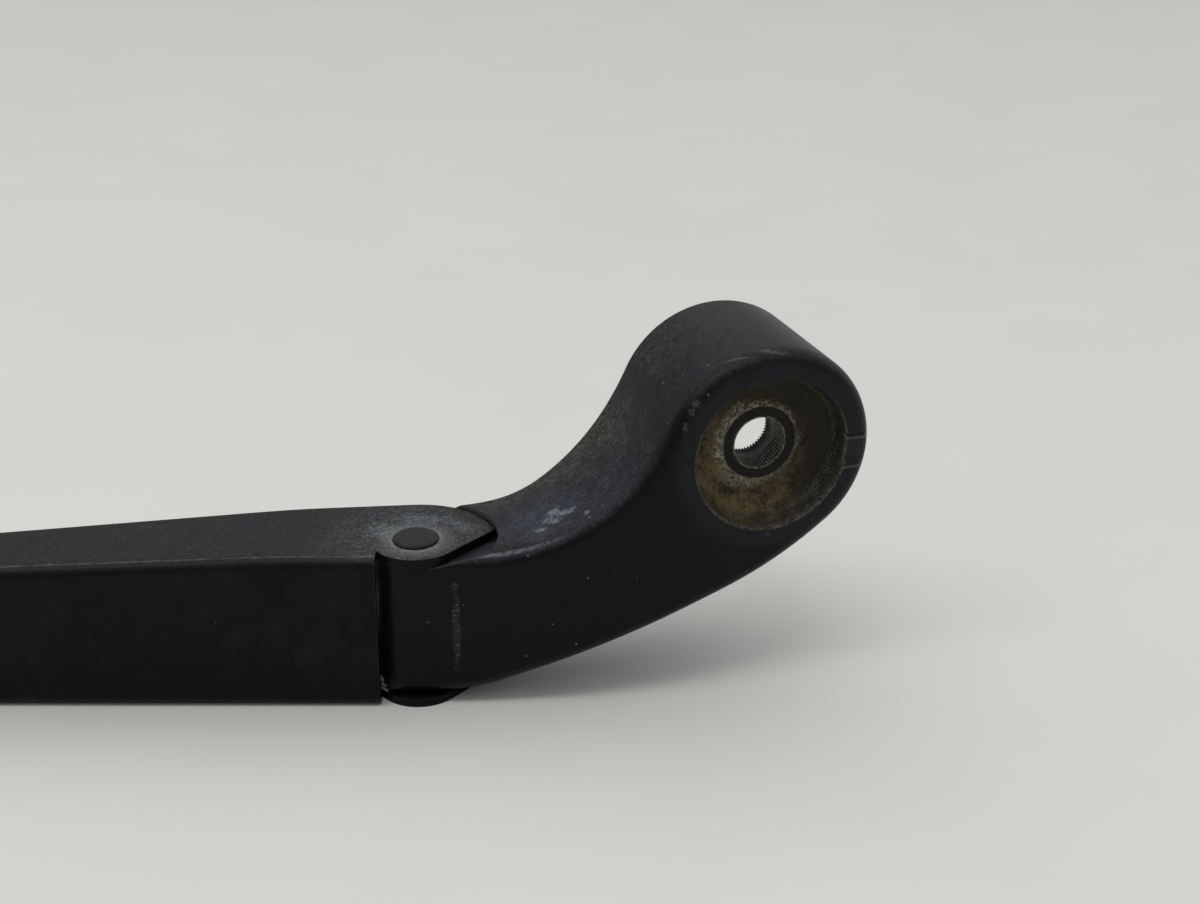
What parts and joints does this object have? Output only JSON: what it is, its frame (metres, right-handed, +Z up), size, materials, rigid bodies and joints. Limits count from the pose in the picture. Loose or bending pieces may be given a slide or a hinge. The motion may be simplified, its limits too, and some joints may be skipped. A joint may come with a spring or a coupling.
{
  "type": "wiper arm",
  "caption": "Windscreen wiper arm: cranked cast mounting head with spindle bore and nut recess, hinged pressed channel, closing spring, and flat strip ending in a blade hook.",
  "frame": {"origin": "centre of the nut seat, on the spindle axis", "axes": "+Z up with the arm lying on its side, the arm runs towards -X, its painted outer face looks along -Y and its glass side along +Y"},
  "size_m": [0.4445, 0.0381, 0.057],
  "materials": {
    "painted_casting": "satin black paint over a casting, scuffed, with rust and oxide in the recess",
    "painted_sheet": "satin black paint over pressed steel, worn along its edges",
    "worn_rivet": "black paint rubbed thin over a steel rivet",
    "bare_steel": "dull plated spring steel",
    "bush": "dark moulded sleeve"
  },
  "bodies": {
    "head": {"mounting_head": "painted_casting", "hinge_bush": "bush", "spring_pin": "bare_steel"},
    "arm": {"arm_channel": "painted_sheet", "hinge_rivet": "worn_rivet", "arm_strip": "painted_sheet", "strip_rivets": "worn_rivet", "tension_spring": "bare_steel"},
    "link": {"spring_link": "bare_steel"}
  },
  "joints": [
    {"name": "arm_lift", "type": "hinge", "parent": "head", "child": "arm", "pos_m": [-0.053, -0.0057, -0.0272], "axis": [0, 0, 1], "range_deg": [0, 80], "stiffness_Nm_per_rad": 0.5, "springref_deg": -114.59},
    {"name": "spring_stretch", "type": "slide", "parent": "arm", "child": "link", "axis": [0.9848, -0.1736, 0], "range_m": [0, 0.0085], "deforming": ["tension_spring"]}
  ],
  "couplings": [
    {"joint": "spring_stretch", "follows": "arm_lift", "m_per_rad": 0.005894}
  ]
}
